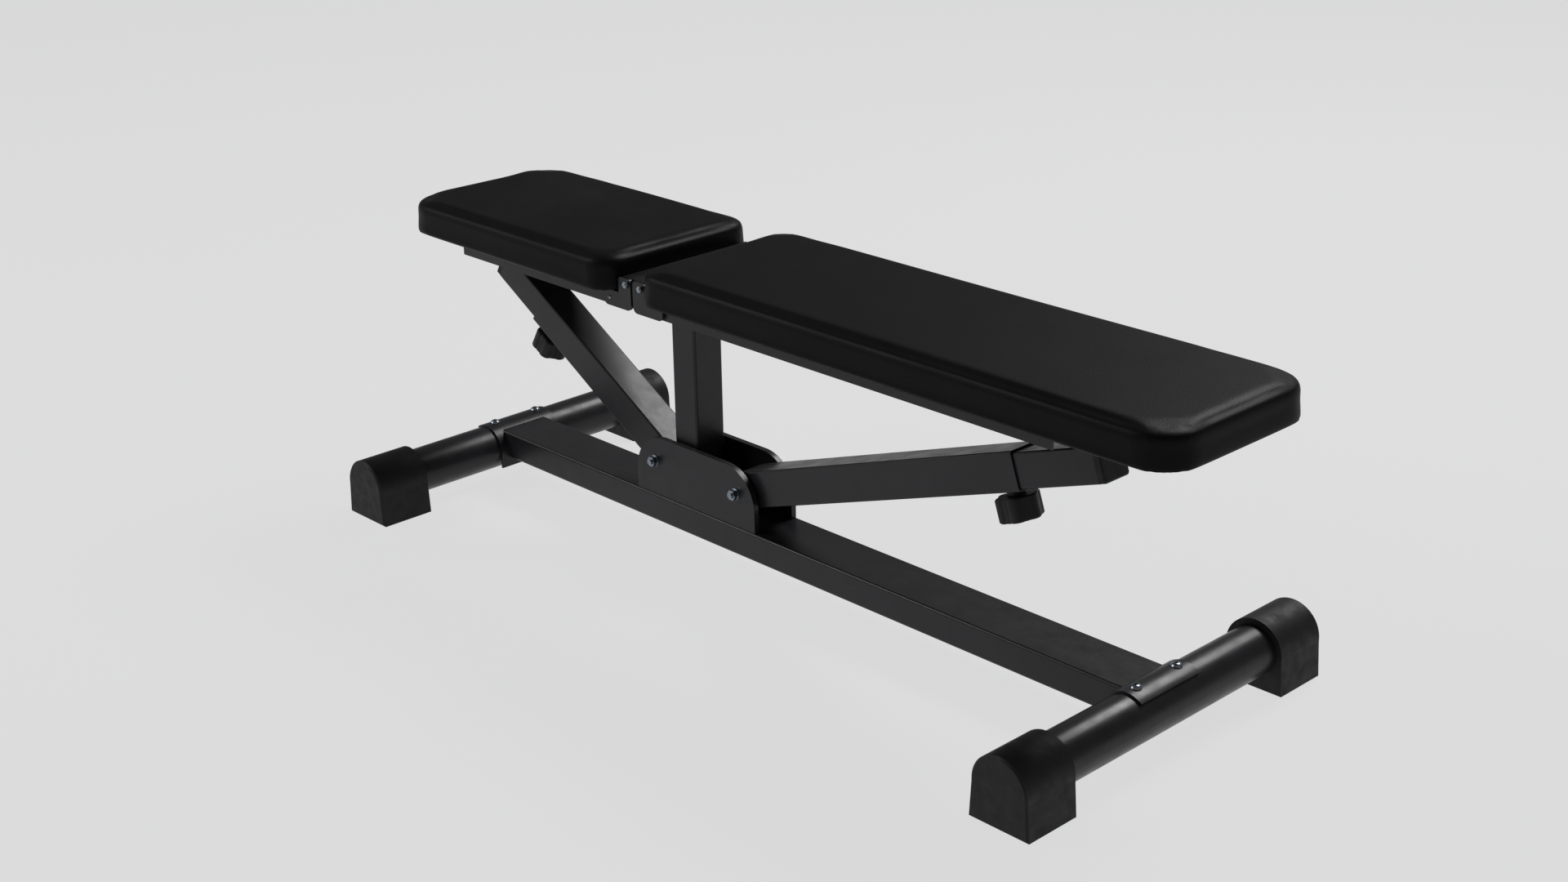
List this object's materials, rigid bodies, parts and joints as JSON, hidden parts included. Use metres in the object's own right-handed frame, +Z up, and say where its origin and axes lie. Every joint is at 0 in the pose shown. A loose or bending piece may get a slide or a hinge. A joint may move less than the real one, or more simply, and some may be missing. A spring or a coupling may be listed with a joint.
{
  "type": "weight bench",
  "caption": "Adjustable weight bench: padded seat and backrest hinged on a post, each held by a telescopic pop-pin strut, on a floor frame with round feet tubes and end caps",
  "frame": {"origin": "on the floor under the middle of the bench, halfway between its two ends and its two sides", "axes": "+X from the seat end to the backrest end, +Y to the far side as seen in the picture, +Z up"},
  "size_m": [1.36, 0.545, 0.441],
  "materials": {
    "frame_coat": "charcoal satin powder coat",
    "cap_plastic": "moulded black plastic, fine matt grain",
    "zinc": "bright zinc-plated steel",
    "nylon": "black nylon",
    "plywood": "plywood painted black",
    "vinyl": "black upholstery vinyl with a fine grain"
  },
  "bodies": {
    "base": {"main_beam": "frame_coat", "seat_end_cross_tube": "frame_coat", "back_end_cross_tube": "frame_coat", "seat_end_saddle": "frame_coat", "back_end_saddle": "frame_coat", "seat_near_foot_cap": "cap_plastic", "seat_far_foot_cap": "cap_plastic", "back_near_foot_cap": "cap_plastic", "back_far_foot_cap": "cap_plastic", "saddle_screws": "zinc", "saddle_nuts": "zinc", "post": "frame_coat", "hinge_head": "frame_coat", "hinge_head_ends": "frame_coat", "hinge_studs": "zinc", "hinge_nuts": "zinc", "hinge_washers": "nylon", "strut_brackets": "frame_coat", "strut_pivot_bolts": "zinc", "strut_pivot_nuts": "zinc", "strut_pivot_washers": "zinc", "strut_pivot_spacers": "nylon"},
    "seat": {"seat_rails": "frame_coat", "seat_hinge_plates": "frame_coat", "seat_rail_screws": "zinc", "seat_cross_bars": "frame_coat", "seat_strut_hanger": "frame_coat", "seat_strut_bolt": "zinc", "seat_strut_nut": "zinc", "seat_board": "plywood", "seat_pad": "vinyl", "seat_pad_screws": "zinc"},
    "seat_sleeve": {"seat_strut_sleeve": "frame_coat", "seat_pin_housing": "frame_coat", "seat_pin_spring": "zinc"},
    "seat_inner": {"seat_strut_inner_tube": "frame_coat", "seat_strut_lug": "frame_coat", "seat_strut_plug": "cap_plastic"},
    "seat_pin": {"seat_pin": "zinc", "seat_knob_screw": "zinc"},
    "seat_knob": {"seat_knob": "cap_plastic"},
    "backrest": {"back_rails": "frame_coat", "back_hinge_plates": "frame_coat", "back_cross_bars": "frame_coat", "back_strut_hanger": "frame_coat", "back_strut_bolt": "zinc", "back_strut_nut": "zinc", "back_board": "plywood", "back_pad": "vinyl", "back_pad_screws": "zinc"},
    "back_sleeve": {"back_strut_sleeve": "frame_coat", "back_pin_housing": "frame_coat", "back_pin_spring": "zinc"},
    "back_inner": {"back_strut_inner_tube": "frame_coat", "back_strut_lug": "frame_coat", "back_strut_plug": "cap_plastic"},
    "back_pin": {"back_pin": "zinc", "back_knob_screw": "zinc"},
    "back_knob": {"back_knob": "cap_plastic"}
  },
  "joints": [
    {"name": "back_tilt", "type": "hinge", "parent": "base", "child": "backrest", "pos_m": [-0.18, 0, 0.407], "axis": [0, -1, 0], "range_deg": [0, 80]},
    {"name": "back_strut_swing", "type": "hinge", "parent": "base", "child": "back_sleeve", "pos_m": [-0.0906, 0, 0.1254], "axis": [0, -1, 0], "range_deg": [0, 64.15]},
    {"name": "back_strut_slide", "type": "slide", "parent": "back_sleeve", "child": "back_inner", "axis": [0.9455, 0, 0.3256], "range_m": [0, 0.31059]},
    {"name": "back_pin_pull", "type": "slide", "parent": "back_sleeve", "child": "back_pin", "axis": [-0.3256, 0, 0.9455], "range_m": [0, 0.007], "deforming": ["back_pin_spring"]},
    {"name": "back_knob_turn", "type": "hinge", "parent": "back_pin", "child": "back_knob", "pos_m": [0.36464, 0, 0.23985], "axis": [-0.3256, 0, 0.9455], "continuous": true},
    {"name": "seat_tilt", "type": "hinge", "parent": "base", "child": "seat", "pos_m": [-0.2085, 0, 0.407], "axis": [0, 1, 0], "range_deg": [0, 20]},
    {"name": "seat_strut_swing", "type": "hinge", "parent": "base", "child": "seat_sleeve", "pos_m": [-0.2535, 0, 0.1277], "axis": [0, 1, 0], "range_deg": [0, 13.53]},
    {"name": "seat_strut_slide", "type": "slide", "parent": "seat_sleeve", "child": "seat_inner", "axis": [-0.8599, 0, 0.5105], "range_m": [0, 0.08289]},
    {"name": "seat_pin_pull", "type": "slide", "parent": "seat_sleeve", "child": "seat_pin", "axis": [0.5105, 0, 0.8599], "range_m": [0, 0.007], "deforming": ["seat_pin_spring"]},
    {"name": "seat_knob_turn", "type": "hinge", "parent": "seat_pin", "child": "seat_knob", "pos_m": [-0.51451, 0, 0.23616], "axis": [0.5105, 0, 0.8599], "continuous": true}
  ],
  "couplings": [
    {"joint": "back_strut_swing", "follows": "back_tilt", "ratio": 0.80161},
    {"joint": "back_strut_slide", "follows": "back_tilt", "m_per_rad": 0.22237},
    {"joint": "seat_strut_swing", "follows": "seat_tilt", "ratio": 0.67545},
    {"joint": "seat_strut_slide", "follows": "seat_tilt", "m_per_rad": 0.23717}
  ]
}
